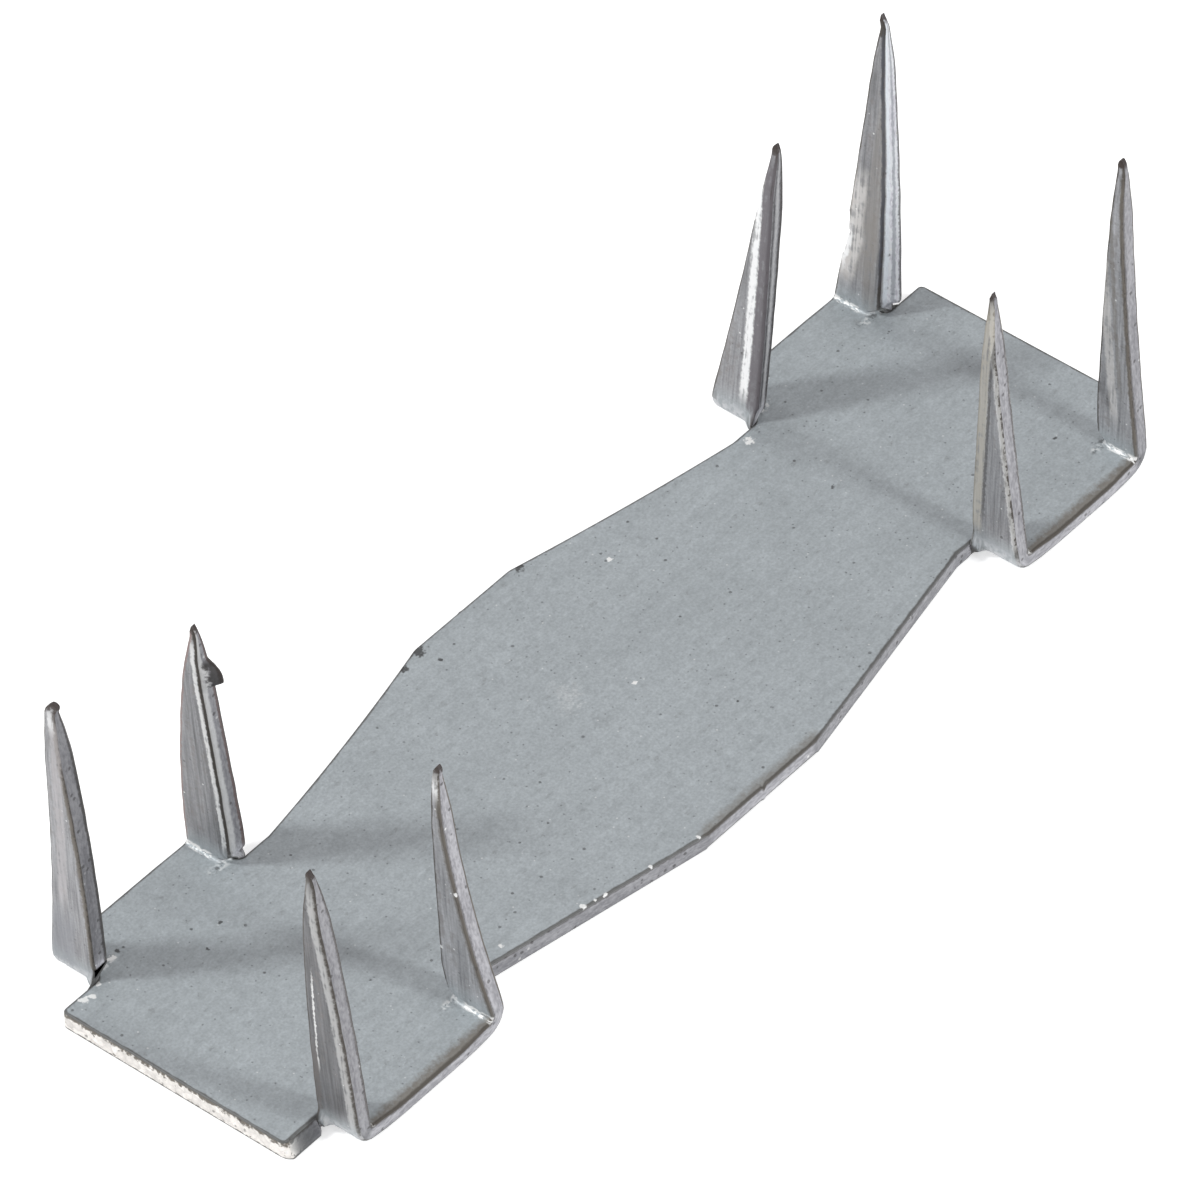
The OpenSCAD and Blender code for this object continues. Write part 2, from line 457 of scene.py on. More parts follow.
# %% [markdown]
# ## Thickness and edges
# Every way of cutting leaves its own edge. The coil was slit to the strip's width from above, which
# rolled one edge of the strip over and left the other crisp. A shear pulls the metal down on the side
# that it enters and tears it off on the other. Each kind has a width and a depth for the roll on the
# top face, and the same for the face below.

# %% How each kind of edge is rounded
ROLLS = {
    "rolled": ((1.1, 0.38), (0.12, 0.06)),
    "crisp": ((0.1, 0.05), (0.3, 0.2)),
    "rim": ((0.2, 0.12), (0.3, 0.2)),
    "point": ((0.2, 0.12), (0.2, 0.12)),
    "shear": ((0.12, 0.1), (0.25, 0.12)),
    "tear": ((0.2, 0.15), (0.2, 0.15)),
    "slit": ((0.15, 0.08), (0.08, 0.04)),
    "crop": ((0.1, 0.06), (0.06, 0.03)),
}
MIN_T = 0.3
SOFT = 2.5
BLENDING = 3


def smooth(value):
    """An S from 0 to 1."""
    value = np.clip(value, 0, 1)
    return value * value * (3 - 2 * value)


def roll(away, width, depth):
    """How deep an elliptical roll is, so far from the cut."""
    reach = np.clip((width - away) / width, 0, 1)
    return depth * (1 - np.sqrt(1 - reach**2))


def faces_z(near, softness, taper):
    """Heights of the top and bottom faces, from the distances to each kind of cut."""
    sides = []
    for side in (0, 1):
        total = 0
        for kind, widths in ROLLS.items():
            width, depth = widths[side]
            if kind in ("rolled", "crisp"):
                rim_width, rim_depth = ROLLS["rim"][side]
                width = rim_width + (width - rim_width) * softness
                depth = rim_depth + (depth - rim_depth) * softness
            total = total + roll(near[kind], width, depth)**BLENDING
        sides.append(total**(1 / BLENDING))
    top = SHEET_T - taper - sides[0]
    bottom = taper + sides[1]
    lack = np.maximum(0, MIN_T - (top - bottom)) / 2
    return top + lack, bottom - lack


print("edges", {kind: widths[0] for kind, widths in ROLLS.items()})

# %% [markdown]
# The flat sheet is built region by region: its top, its bottom and a few rows of wall between them. It
# carries what the fold needs to know as attributes on its points, and what the finish needs to know.

# %% The blank as a mesh
WALL_ROWS = 4
FOLD_VALUES = ("fold_x", "way", "turn", "past", "bent", "thin")
LOOK_VALUES = ("wall", "under", "edge", "cropped", "strip", "tip", "blade", "dark", "wall_dark", "number",
               "up", "from_slit", "from_rim")


class Blank:
    """Vertices, faces and point attributes, gathered region by region."""

    def __init__(self):
        self.points, self.faces = [], []
        self.values = {name: [] for name in FOLD_VALUES + LOOK_VALUES}

    def add(self, outline, filled, place, flipped, heights, values):
        """Add one region. place turns its points into the plate's, by how deep in the sheet they are."""
        spots, triangles = filled
        top, bottom = heights
        cut = len(outline)
        layers = []
        for depth in np.linspace(0, 1, WALL_ROWS + 2):
            size = len(spots) if depth in (0, 1) else cut
            layers.append(len(self.points))
            z = top[:size] + (bottom[:size] - top[:size]) * depth
            self.points += np.column_stack([place(spots[:size], depth), z]).tolist()
            own = {"wall": np.full(size, float(0 < depth < 1)), "under": np.full(size, depth)}
            for name in self.values:
                self.values[name] += (own[name] if name in own else values[name][:size]).tolist()
        for a, b, c in triangles:
            self.faces.append([layers[0] + i for i in ((a, c, b) if flipped else (a, b, c))])
            self.faces.append([layers[-1] + i for i in ((a, b, c) if flipped else (a, c, b))])
        for i, (x, y, kind) in enumerate(outline):
            if kind != "root":
                j = (i + 1) % cut
                for upper, lower in zip(layers, layers[1:]):
                    quad = [upper + i, lower + i, lower + j, upper + j]
                    self.faces.append(quad[::-1] if flipped else quad)


print("each point carries", len(FOLD_VALUES) + len(LOOK_VALUES), "values")

# %% [markdown]
# Near the end of its slit a tooth isn't free to fold sharply: the metal there runs on into the flat
# plate. So each point has a share of the fold, from none beside the slit's end to all of it a
# millimetre away. The outside of a fold also stretches thin.

# %% What every point of a region carries
BLEND_Y = 0.9
BLEND_ALONG = 0.7
SPREAD = 1.2
ROLL_WEAR_W = 1.1
CROP_WEAR = 0.35
NEAR = 3
FAR = 9


def fold_values(tooth, along, y):
    """What the fold of one tooth needs at points that lie so far along it, in its corner's frame."""
    beside = (y - tooth.slit_y) / BLEND_Y + np.maximum(0, along - SLIT_END) / BLEND_ALONG
    bent = smooth(beside)
    half = tooth.bend_l / 2
    return {
        "fold_x": np.full(len(y), tooth.fold_x), "way": np.full(len(y), float(tooth.way)),
        "turn": np.full(len(y), tooth.turn), "past": along, "bent": bent,
        "thin": bent * (1 - smooth(abs(along - half) / (half + SPREAD))),
    }


def look_values(near, tip, blade, dark, wall_dark, number, up):
    """What the finish needs, from the distances to each kind of cut."""
    return {
        "edge": np.minimum(np.min([*near.values()], axis=0), NEAR),
        "cropped": np.exp(-np.minimum(near["crop"], FAR) / CROP_WEAR),
        "strip": 1 - smooth(near["rolled"] / ROLL_WEAR_W), "tip": tip, "blade": blade,
        "dark": dark, "wall_dark": wall_dark, "number": number, "up": up,
        "from_slit": np.minimum(near["shear"], FAR), "from_rim": np.minimum(near["rim"], FAR),
    }


print("a fold is free", BLEND_Y, "mm from the slit or", BLEND_ALONG, "mm past its end")

# %% [markdown]
# The plate is the first region. Its points near a tooth's root carry that tooth's fold, so that the
# bend runs out into the flat. The strip's edge is only rolled or crisp well clear of a fold, and runs
# over into the rim's own edge on the way to it.

# %% How the folds reach into the plate
FOLD_REACH = 3
PAST_SLIT = 1

outline = plate_outline()
filled = fill(outline, plate_steps)
spots = filled[0]
near = {kind: distance(spots, outline, {kind}) for kind in ROLLS}
x, y = np.abs(spots).T
folds = {name: np.zeros(len(spots)) for name in FOLD_VALUES}
folds["fold_x"] = spots[:, 0].copy()
to_fold = np.full(len(spots), float(FAR))
for tooth in teeth.values():
    sx, sy = CORNERS[tooth.corner]
    own_half = sx * spots[:, 0] > 0
    along = (x - tooth.fold_x) * tooth.way
    to_fold = np.minimum(to_fold, np.where(own_half, -along, FAR))
    own = own_half & (sy * spots[:, 1] > 0) & (y > tooth.slit_y)
    own &= (along > -FOLD_REACH) & (along < SLIT_END + PAST_SLIT)
    for name, values in fold_values(tooth, along, y).items():
        folds[name][own] = values[own] * (sx if name in ("fold_x", "way") else 1)
softness = smooth(to_fold / SOFT)
print("points that carry a fold", int((folds["turn"] > 0).sum()))

# %% [markdown]
# The walls at the torn end of a slit are painted paler than its sheared sides, to lift the shade that
# falls into that narrow end. At one slit the press also dragged a lip out of the bottom of the sheet.

# %% Add the plate
# Painted light on the walls at the end of a slit, where shade falls.
TEAR_PAINTED_LIGHT = -0.25
WALL_PAINT_REACH = 0.3
TAB_WALL_DARK = 0.55
TAB_WALL_X = 34
SLIT_WALL_DARK = 0.3
LIP_W = 0.45
LIP_IN = 0.4
LIP_START = OUTER_FOLD_X + SLIT_END + 0.02
LIP_RISE = 0.6


def at_tear(near, darkness):
    """How dark the walls are, where they would be this dark away from the end of a slit, and painted
    lighter near that end to lift its shade.
    """
    share = np.exp(-np.minimum(near["tear"], FAR) / WALL_PAINT_REACH)
    return darkness * (1 - share) + TEAR_PAINTED_LIGHT * share


beside_slit = np.exp(-np.minimum(near["slit"], near["tear"]) / LIP_IN)
lip = LIP_W * beside_slit * smooth((-spots[:, 0] - LIP_START) / LIP_RISE) * (spots[:, 1] < 0)
at_slit = np.exp(-np.minimum(near["slit"], FAR) / WALL_PAINT_REACH)
plate_walls = at_tear(near, TAB_WALL_DARK * smooth(2 * (x - TAB_WALL_X)) + SLIT_WALL_DARK * at_slit)


def place(points, depth):
    """The plate stays where it is, apart from its lip."""
    return points - np.outer(lip[:len(points)] * depth, (0, 1))


blank = Blank()
zero = np.zeros(len(spots))
looks = look_values(near, zero, zero, zero, plate_walls, zero, zero)
blank.add(outline, filled, place, False, faces_z(near, softness, zero), {**folds, **looks})
print("plate of", len(blank.points), "points")

# %% [markdown]
# Each tooth is one more region, drawn lying flat where it was before the press folded it. A tooth
# thins towards its point, and the sheared side of some of them leans with the depth in the sheet.

# %% Add the teeth
POINT_TAPER_L = 4.5
POINT_T = 0.3
TAPER_CURVE = 1.6
SKEW_IN = 0.5
SKEW_RISE = 1.3
SKEW_CURVE = 1.5
HOOK_L = 0.9
NUB_IN = 0.15
TIP_WEAR = 0.8
BLADE_START = 1
BLADE_RISE = 2

for tooth in teeth.values():
    sx, sy = CORNERS[tooth.corner]
    outline = tooth_outline(tooth)
    filled = fill(outline, tooth_steps)
    spots = filled[0]
    near = {kind: distance(spots, outline, {kind}) for kind in ROLLS}
    along, y = spots.T
    folds = fold_values(tooth, along, y)
    folds["fold_x"] = folds["fold_x"] * sx
    folds["way"] = folds["way"] * sx
    to_tip = tooth.length - along
    taper = np.clip(1 - to_tip / POINT_TAPER_L, 0, 1)**TAPER_CURVE * (SHEET_T - POINT_T) / 2
    up_blade = np.clip([tooth.share(value) for value in along], 0, 1)
    beside_cut = np.exp(-near["shear"] / SKEW_IN) * smooth((along - SLIT_END) / SKEW_RISE)
    lean_in = beside_cut * (1 - up_blade)**SKEW_CURVE * tooth.skew
    hooked = smooth(1 - to_tip / HOOK_L) * tooth.hook
    curl = np.array([tooth.nub(value) for value in along]) * np.exp(-near["shear"] / NUB_IN)

    def place(points, depth):
        """From the tooth's frame to the plate's."""
        shift = (lean_in - curl)[:len(points)] * depth + hooked[:len(points)]
        x = tooth.fold_x + tooth.way * points[:, 0]
        return np.column_stack([sx * x, sy * (points[:, 1] + shift)])

    blade = smooth((along - BLADE_START) / BLADE_RISE)
    looks = look_values(near, np.exp(-to_tip / TIP_WEAR), blade, blade * tooth.dark,
                        at_tear(near, tooth.wall_dark), np.full(len(spots), float(tooth.number)), up_blade)
    heights = faces_z(near, np.zeros(len(spots)), taper)
    blank.add(outline, filled, place, sx * sy * tooth.way < 0, heights, {**folds, **looks})
print("blank of", len(blank.points), "points and", len(blank.faces), "faces")

# %% [markdown]
# Here the millimetres become metres. Where a point lay on the flat blank is kept as well, because the
# finish is laid out there.

# %% Its mesh and attributes, in metres
mesh = bpy.data.meshes.new("nail_plate_blank")
mesh.from_pydata([[v * MM for v in point] for point in blank.points], [], blank.faces)
for name, values in blank.values.items():
    scale = MM if name in ("fold_x", "past") else 1
    mesh.attributes.new(name, "FLOAT", "POINT").data.foreach_set("value", [v * scale for v in values])
flat = mesh.attributes.new("flat", "FLOAT_VECTOR", "POINT")
flat.data.foreach_set("vector", [v * MM for point in blank.points for v in point])
mesh.polygons.foreach_set("use_smooth", [True] * len(mesh.polygons))
mesh.update()
sheet = bpy.data.objects.new("folding_blank", mesh)
bpy.context.scene.collection.objects.link(sheet)
print("mesh with", len(mesh.attributes), "attributes")

# %% [markdown]
# ## Sums in a node tree
# Both the fold and the finish are sums on values in a node tree. Drawing them by hand is slow to read,
# so one small class wraps a socket: an ordinary expression on it adds the Math nodes that it needs.

# %% A socket that can be used in sums
class Wire:
    """A socket of a node tree. Sums and products on it add Math nodes to the tree."""

    def __init__(self, tree, socket=None):
        self.tree, self.socket = tree, socket

    def node(self, kind, settings=None, inputs=None, output=0):
        """Add a node, make its settings, then fill or link its inputs, and wrap one of its outputs."""
        node = self.tree.nodes.new(kind)
        for name, value in (settings or {}).items():
            setattr(node, name, value)
        for name, value in (inputs or {}).items():
            if isinstance(value, Wire):
                self.tree.links.new(value.socket, node.inputs[name])
            else:
                node.inputs[name].default_value = value
        return Wire(self.tree, node.outputs[output]) if len(node.outputs) else node

    def other(self, output):
        """Another output of the same node."""
        return Wire(self.tree, self.socket.node.outputs[output])

    def math(self, operation, *values):
        return self.node("ShaderNodeMath", {"operation": operation}, dict(enumerate(values)))

    def __add__(self, other):
        return self.math("ADD", self, other)

    def __sub__(self, other):
        return self.math("SUBTRACT", self, other)

    def __rsub__(self, other):
        return self.math("SUBTRACT", other, self)

    def __mul__(self, other):
        return self.math("MULTIPLY", self, other)

    def __truediv__(self, other):
        return self.math("DIVIDE", self, other)

    __radd__ = __add__
    __rmul__ = __mul__

    def __abs__(self):
        return self.math("ABSOLUTE", self)

    def largest(self, other):
        return self.math("MAXIMUM", self, other)

    def smallest(self, other):
        return self.math("MINIMUM", self, other)

    def step(self, start, end):
        """A smooth step from 0 at start to 1 at end."""
        inputs = {"Value": self, "From Min": start, "From Max": end}
        return self.node("ShaderNodeMapRange", {"interpolation_type": "SMOOTHSTEP"}, inputs)

    def mix(self, start, end):
        """From one colour to another, by this value."""
        return self.node("ShaderNodeMix", {"data_type": "RGBA"}, {0: self, 6: start, 7: end}, output=2)


print("sums on sockets:", [name for name in vars(Wire) if not name.startswith("__")])

# %% [markdown]
# ## Folding the teeth
# A press bends a sheet about a line: the metal inside the bend is squeezed, the metal outside is
# stretched and thinned, and a layer a little nearer the inside than the middle keeps its length. That
# is a rule, so a Geometry Nodes tree does it. It could also be an armature or a Simple Deform modifier,
# but neither keeps the sheet's thickness through so tight a bend.

# %% The folding tree
LEAST_TURN = 0.004
SEAM = 0.009


def folding_tree(name):
    """A tree with named sizes that folds every tooth about its own line and sews it to the plate."""
    tree = bpy.data.node_groups.new(name, "GeometryNodeTree")
    tree.interface.new_socket("Geometry", in_out="OUTPUT", socket_type="NodeSocketGeometry")
    tree.interface.new_socket("Geometry", in_out="INPUT", socket_type="NodeSocketGeometry")
    for label in ("Sheet Thickness", "Fold Radius", "Neutral Layer", "Thinning"):
        tree.interface.new_socket(label, in_out="INPUT", socket_type="NodeSocketFloat")
    tree.interface.new_socket("Finish", in_out="INPUT", socket_type="NodeSocketMaterial")
    wire = Wire(tree)
    entry = tree.nodes.new("NodeGroupInput")
    geometry_in, thickness, radius, neutral, thinning, finish = [Wire(tree, s) for s in entry.outputs[:6]]

    def stored(label):
        return wire.node("GeometryNodeInputNamedAttribute", {"data_type": "FLOAT"}, {"Name": label})

    past, turn, way, fold_x = stored("past"), stored("turn"), stored("way"), stored("fold_x")
    position = wire.node("GeometryNodeInputPosition")
    y, z = [wire.node("ShaderNodeSeparateXYZ", {}, {0: position}, output=axis) for axis in (1, 2)]
    bend_length = (radius + neutral * thickness) * turn
    own_turn = (turn * stored("bent")).largest(LEAST_TURN)
    centre = bend_length / own_turn - neutral * thickness
    angle = own_turn * (past / bend_length).largest(0).smallest(1)
    beyond = (past - bend_length).largest(0)
    depth = (thickness - z) * (1 - thinning * stored("thin"))
    sine, cosine = angle.math("SINE", angle), angle.math("COSINE", angle)
    reach = past.smallest(0) + (centre + depth) * sine + beyond * cosine
    height = thickness + centre - (centre + depth) * cosine + beyond * sine
    place = wire.node("ShaderNodeCombineXYZ", {}, {0: fold_x + way * reach, 1: y, 2: height})
    folded = wire.node("GeometryNodeSetPosition", {}, {"Geometry": geometry_in, "Position": place})
    sewn = wire.node("GeometryNodeMergeByDistance", {}, {"Geometry": folded, "Distance": SEAM * MM})
    real = wire.node("GeometryNodeRealizeInstances", {}, {"Geometry": sewn})
    done = wire.node("GeometryNodeSetMaterial", {}, {"Geometry": real, "Material": finish})
    wire.node("NodeGroupOutput", {}, {"Geometry": done})
    return tree


def fold(blank_object, tree, sizes):
    """Run the tree on the blank and return what it makes as a plain mesh."""
    modifier = blank_object.modifiers.new("fold", "NODES")
    modifier.node_group = tree
    for item in tree.interface.items_tree:
        if item.in_out == "INPUT" and item.name in sizes:
            modifier[item.identifier] = sizes[item.name]
    evaluated = blank_object.evaluated_get(bpy.context.evaluated_depsgraph_get())
    folded = bpy.data.meshes.new_from_object(evaluated)
    blank_object.modifiers.remove(modifier)
    return folded


tree = folding_tree("fold teeth")
print("folding tree of", len(tree.nodes), "nodes")

# %% [markdown]
# ## The finish
# Hot-dip galvanised sheet is a satin blue grey. Its zinc froze in fine crystals, which show as a grain
# with a few that glint, and the mill's rolls drew faint streaks along the strip. Every cut made after
# the dip is bare steel: bright and torn where the ends were cropped, darker where the slits were
# sheared, and brown where an edge has begun to tarnish. All of it is set out on the flat blank, so the
# streaks run up the teeth with the metal.

# %% Patterns of the finish
zinc = bpy.data.materials.new("galvanised_sheet")
zinc.use_nodes = True
zinc.node_tree.nodes.clear()
wire = Wire(zinc.node_tree)


def carried(name, output="Fac"):
    """A value that the sheet carries on its points."""
    return wire.node("ShaderNodeAttribute", {"attribute_name": name}, {}, output)


wall, under, edge, cropped, strip, tip, blade, dark, wall_dark, number, up, from_slit, from_rim = [
    carried(name) for name in LOOK_VALUES]
crease, bent = carried("thin"), carried("bent")


def scaled(colour, amount):
    """A colour or a place times a number."""
    return wire.node("ShaderNodeVectorMath", {"operation": "SCALE"}, {0: colour, "Scale": amount})


flat_place = scaled(carried("flat", "Vector"), 1 / MM)


def moved(scale, seed):
    """The place on the flat blank in mm, scaled on each axis and shifted."""
    inputs = {"Vector": flat_place, "Location": (seed, seed, seed), "Scale": scale}
    return wire.node("ShaderNodeMapping", {}, inputs)


def cloud(size, along=1, detail=2, seed=0):
    """Noise from 0 to 1 in patches of this size in mm, drawn out along the strip."""
    place = moved((1 / (size * along), 1 / size, 1 / size), seed)
    return wire.node("ShaderNodeTexNoise", {}, {"Vector": place, "Scale": 1, "Detail": detail}, "Fac")


def cells(spacing, seed=0):
    """Distance to the middle of the nearest cell of a loose grid, and a chance for each cell."""
    inputs = {"Vector": moved((1 / spacing,) * 3, seed), "Scale": 1}
    cell = wire.node("ShaderNodeTexVoronoi", {}, inputs, "Distance")
    return cell, wire.node("ShaderNodeSeparateColor", {}, {0: cell.other("Color")})


def specks(spacing, radius, share, seed=0):
    """Ragged dots of this radius in a share of the cells of a loose grid, both in mm."""
    away, chance = cells(spacing, seed)
    frayed = away + (grain - 0.5) * (0.9 * radius / spacing)
    return frayed.step(radius / spacing, radius / spacing / 2) * chance.step(1 - share, 1.01 - share)


ragged = cloud(0.25, detail=3, seed=3) - 0.5
grain = cloud(0.14, detail=3)
mottle = cloud(0.5, detail=3, seed=19)
patches = cloud(4.5, detail=3, seed=5)
streaks = cloud(0.16, along=24, seed=7)
bands = cloud(0.55, along=14, detail=3, seed=9)
rolling = cloud(0.35, along=110, seed=31)
print("patterns use", len(zinc.node_tree.nodes), "nodes")

# %% [markdown]
# The colour starts from the zinc and is worn down in layers, each with its own mask. Blades lost some
# of their zinc in the press, so they are greyer and streakier than the flat.

# %% Colours of the zinc
ZINC = (0.416, 0.449, 0.469, 1)
BLADE = (0.43, 0.43, 0.448, 1)
WORN_BLADE = (0.2, 0.18, 0.17, 1)
WISP = (0.1, 0.095, 0.09, 1)
SOOT = (0.03, 0.026, 0.024, 1)
GLINT = (0.9, 0.9, 0.89, 1)


def painted(colour, layers):
    """The colour under some layers, each of which has a mask and a paint."""
    for mask, paint in layers:
        colour = mask.mix(colour, paint)
    return colour


on_wall = wall.step(0, 0.3)
on_face = 1 - on_wall
lengthwise = 1 + (streaks - 0.5) * (0.12 + 1.28 * blade) + (bands - 0.5) * (0.1 + 0.8 * blade)
lengthwise = lengthwise + (rolling - 0.5) * 0.1 * (1 - blade)
# Each tooth's face is darkened by a value of its own: partly its own tone, partly painted shade for the way
# it faces the lamps.
lightness = (0.7 + 0.6 * grain) * (0.86 + 0.28 * mottle) * (0.9 + 0.2 * patches) * lengthwise * (1 - dark)
worn = (blade * (mottle + bands - 0.5)).step(0.5, 0.85)
wisps = cloud(0.6, along=1.6, detail=4, seed=33).step(0.4, 0.3) * grain.step(0.4, 0.6)
colour = painted(scaled(blade.mix(ZINC, BLADE), lightness), [
    (worn * 0.6, WORN_BLADE),
    (specks(spacing=0.6, radius=0.075, share=0.25) * (0.4 + 0.4 * blade), GLINT),
    (specks(spacing=1.1, radius=0.13, share=0.35, seed=4) * (0.1 + grain).smallest(0.8), SOOT),
    (specks(spacing=0.4, radius=0.08, share=0.3, seed=6) * 0.4, SOOT),
    (wisps * 0.35, WISP),
])
print("with the zinc,", len(zinc.node_tree.nodes), "nodes")

# %% [markdown]
# Bare steel shows on every cut. A sheared wall is partly burnished and partly torn, so it has two
# tones. A cropped end broke off with a coarse bright grain, and tarnished at its top and bottom.

# %% Colours of the cuts
TORN = (1.0, 0.96, 0.92, 1)
CUT = (0.35, 0.345, 0.375, 1)
PALE_CUT = (0.64, 0.635, 0.67, 1)
PALEST_CUT = (0.9, 0.92, 0.95)
TARNISH = (0.19, 0.17, 0.145, 1)

wall_tone = (cloud(0.16, along=2.5, detail=4, seed=11) * 0.7 + bands * 0.5).step(0.4, 0.8)
# The walls are darkened by a value of each tooth: partly their own tone, partly painted shade and light.
cut_colour = scaled(wall_tone.mix(CUT, PALE_CUT), 1 - wall_dark)
cut_colour = wire.node("ShaderNodeVectorMath", {"operation": "MINIMUM"}, {0: cut_colour, 1: PALEST_CUT})
away, chance = cells(spacing=0.42, seed=13)
facets = (0.84 + 0.3 * chance) * (1.08 - 0.22 * away)
ridge = (under + ragged * 0.9).step(0.3, 0.12).largest((under + ragged * 0.3).step(0.9, 0.97))
pits = cloud(0.3, detail=4, seed=29).step(0.36, 0.3)
torn_colour = ridge.largest(pits).mix(scaled(TORN[:3], facets), TARNISH)
colour = painted(colour, [(on_wall * (1 - cropped) * 0.9, cut_colour), (on_wall * cropped, torn_colour)])
print("with the cuts,", len(zinc.node_tree.nodes), "nodes")

# %% [markdown]
# The rolled edge of the strip has tarnished brown where it turns over. A thin dark line follows every
# cut, wider in some places than in others. Painted highlights lie inside and outside each fold, and
# painted glints on the walls. Where the fold runs out into the flat there are painted highlights as
# bright spots, and dark spots.

# %% Colours of the edges
EDGE_LINE = (0.05, 0.04, 0.03, 1)
FOLD_HIGHLIGHT = (0.72, 0.72, 0.74, 1)

axes = wire.node("ShaderNodeSeparateXYZ", {}, {0: flat_place})
lengthways, crossways = abs(axes), abs(axes.other("Y"))
# Painted glints: bright specks on the walls where they catch the light.
wall_glints = specks(spacing=0.8, radius=0.13, share=0.25, seed=21) * (1 - wall_dark * 1.5).largest(0)
rolled = (strip * 1.4 - 0.35 + ragged * 1.1 + (mottle - 0.5) * 0.9) * on_face * (1 - under) * (1 - blade)
rolled = rolled.largest(0).smallest(0.85) * (0.75 + 0.25 * lengthways.step(6, 12))
line_w = 0.08 + cloud(1.1, detail=3, seed=17) * 0.24
line = (edge + ragged * 0.08).step(line_w, line_w * 0.4) * on_face
wall_top = on_wall * (under + ragged * 0.25).step(0.2, 0.08) * (1 - cropped)
blotches = mottle + ragged * 0.8
# Painted highlights along the inside and the outside of each fold.
inside_fold_highlight = crease.step(0.68, 0.92) * on_face * (1 - under) * blotches.step(0.43, 0.53)
outside_fold_highlight = crease.step(0.4, 0.9) * on_face * under * (mottle + ragged * 0.5).step(0.3, 0.6)
web = bent * (1 - bent) * 4 * crease.step(0.02, 0.15) * (1 - blade)
colour = painted(colour, [
    (rolled, TARNISH),
    ((line * (0.75 + 0.15 * blade)).largest(wall_top * 0.6), EDGE_LINE),
    (wall_glints * on_wall, GLINT),
    (specks(spacing=0.6, radius=0.16, share=0.45, seed=23) * on_wall * 0.6, SOOT),
    (inside_fold_highlight * crossways.step(8.9, 9.3) * 0.9, GLINT),
    (outside_fold_highlight * 0.65, FOLD_HIGHLIGHT),
    # painted highlights as bright spots where the fold runs into the flat, then dark spots
    (web * blotches.step(0.5, 0.62) * 0.6, GLINT),
    (web * blotches.step(0.47, 0.35) * 0.6, SOOT),
])
print("with the edges,", len(zinc.node_tree.nodes), "nodes")

# %% [markdown]
# Each tooth slid over the die in its own way, so each has its own streaks, brown or sooty where the
# zinc is gone. Its bright streaks are painted highlights, where a ridge or a point catches the light. A
# streak is set by the side that it follows, how far from it and how wide it is in mm, between which
# heights it runs, from 0 at the bend to 1, its paint and its strength.

# %% Streaks of each tooth
HIGHLIGHT_WHITE = (1, 1, 1, 1)
DULL = (0.3, 0.28, 0.26, 1)
# The GLINT and white streaks in this table are painted highlights.
STREAKS = [
    ("A", "slit", 0.12, 0.13, 0.02, 0.95, TARNISH, 0.75),
    ("A", "rim", 0.9, 0.45, 0.25, 0.95, (0.55, 0.52, 0.53, 1), 0.5),
    ("A", "rim", 0.9, 1.2, -0.1, 0.2, (0.25, 0.26, 0.29, 1), 0.5),
    ("A", "slit", 0.3, 0.25, 0.92, 0.96, HIGHLIGHT_WHITE, 1.0),
    ("B", "slit", 0.28, 0.2, 0.05, 0.95, GLINT, 0.75),
    ("B", "slit", 0.6, 0.14, 0.0, 0.7, SOOT, 0.35),
    ("B", "rim", 0.1, 0.14, 0.0, 1.0, (0.28, 0.2, 0.19, 1), 0.8),
    ("C", "slit", 0.55, 0.08, 0.22, 0.6, GLINT, 0.85),
    ("C", "rim", 0.3, 0.3, 0.02, 0.95, GLINT, 0.4),
    ("C", "slit", 0.2, 0.4, 0.0, 0.3, (0.14, 0.12, 0.11, 1), 0.6),
    ("D", "rim", 0.1, 0.2, 0.0, 0.95, TARNISH, 0.6),
    ("D", "rim", 0.25, 0.25, 0.88, 0.95, HIGHLIGHT_WHITE, 0.9),
    ("E", "slit", 0.3, 0.5, 0.0, 0.95, (0.16, 0.145, 0.16, 1), 0.85),
    ("E", "rim", 0.2, 0.3, -0.06, 0.02, SOOT, 0.6),
    ("E", "slit", 0.9, 0.34, 0.06, 0.86, HIGHLIGHT_WHITE, 0.95),
    ("F", "rim", 0.6, 0.7, 0.08, 0.45, TORN, 0.5),
    ("F", "rim", 1.6, 0.8, 0.1, 0.75, DULL, 0.5),
    ("F", "rim", 0.15, 0.3, 0.12, 0.26, HIGHLIGHT_WHITE, 0.9),
    ("F", "slit", 0.08, 0.13, 0.12, 0.95, (0.1, 0.11, 0.14, 1), 0.6),
    ("F", "slit", 0.8, 0.6, 0.0, 0.35, DULL, 0.45),
    ("G", "rim", 0.12, 0.13, 0.03, 0.97, GLINT, 0.45),
    ("G", "slit", 0.35, 0.45, 0.05, 0.95, (0.6, 0.56, 0.48, 1), 0.6),
    ("G", "slit", 0.8, 0.14, 0.1, 0.85, SOOT, 0.55),
    ("H", "rim", 1.4, 0.4, 0.1, 0.8, TORN, 0.35),
    ("H", "rim", 0.1, 0.12, 0.0, 0.95, TARNISH, 0.6),
    ("H", "rim", 0.8, 0.2, 0.2, 0.9, TARNISH, 0.5),
    ("H", "slit", 0.35, 0.25, 0.17, 0.21, SOOT, 0.9),
    ("H", "slit", 0.8, 0.25, 0.13, 0.16, SOOT, 0.9),
]
START_FADE = 0.04
END_FADE = 0.06


def on_tooth(letter):
    """1 on this tooth and 0 on the others."""
    return abs(number - (LETTERS.index(letter) + 1)).step(0.6, 0.4)


broken = (streaks + mottle).step(0.7, 1.0) * 0.7 + 0.3
for letter, side, inward, width, start, end, paint, strength in STREAKS:
    away = abs((from_slit if side == "slit" else from_rim) - inward) + ragged * 0.25
    run = up.step(start - START_FADE, start + START_FADE) * up.step(end + END_FADE, end - END_FADE)
    streak = away.step(width, width * 0.5) * run * broken * on_face
    colour = (on_tooth(letter) * streak * strength).mix(colour, paint)
print(len(STREAKS), "streaks on the faces")
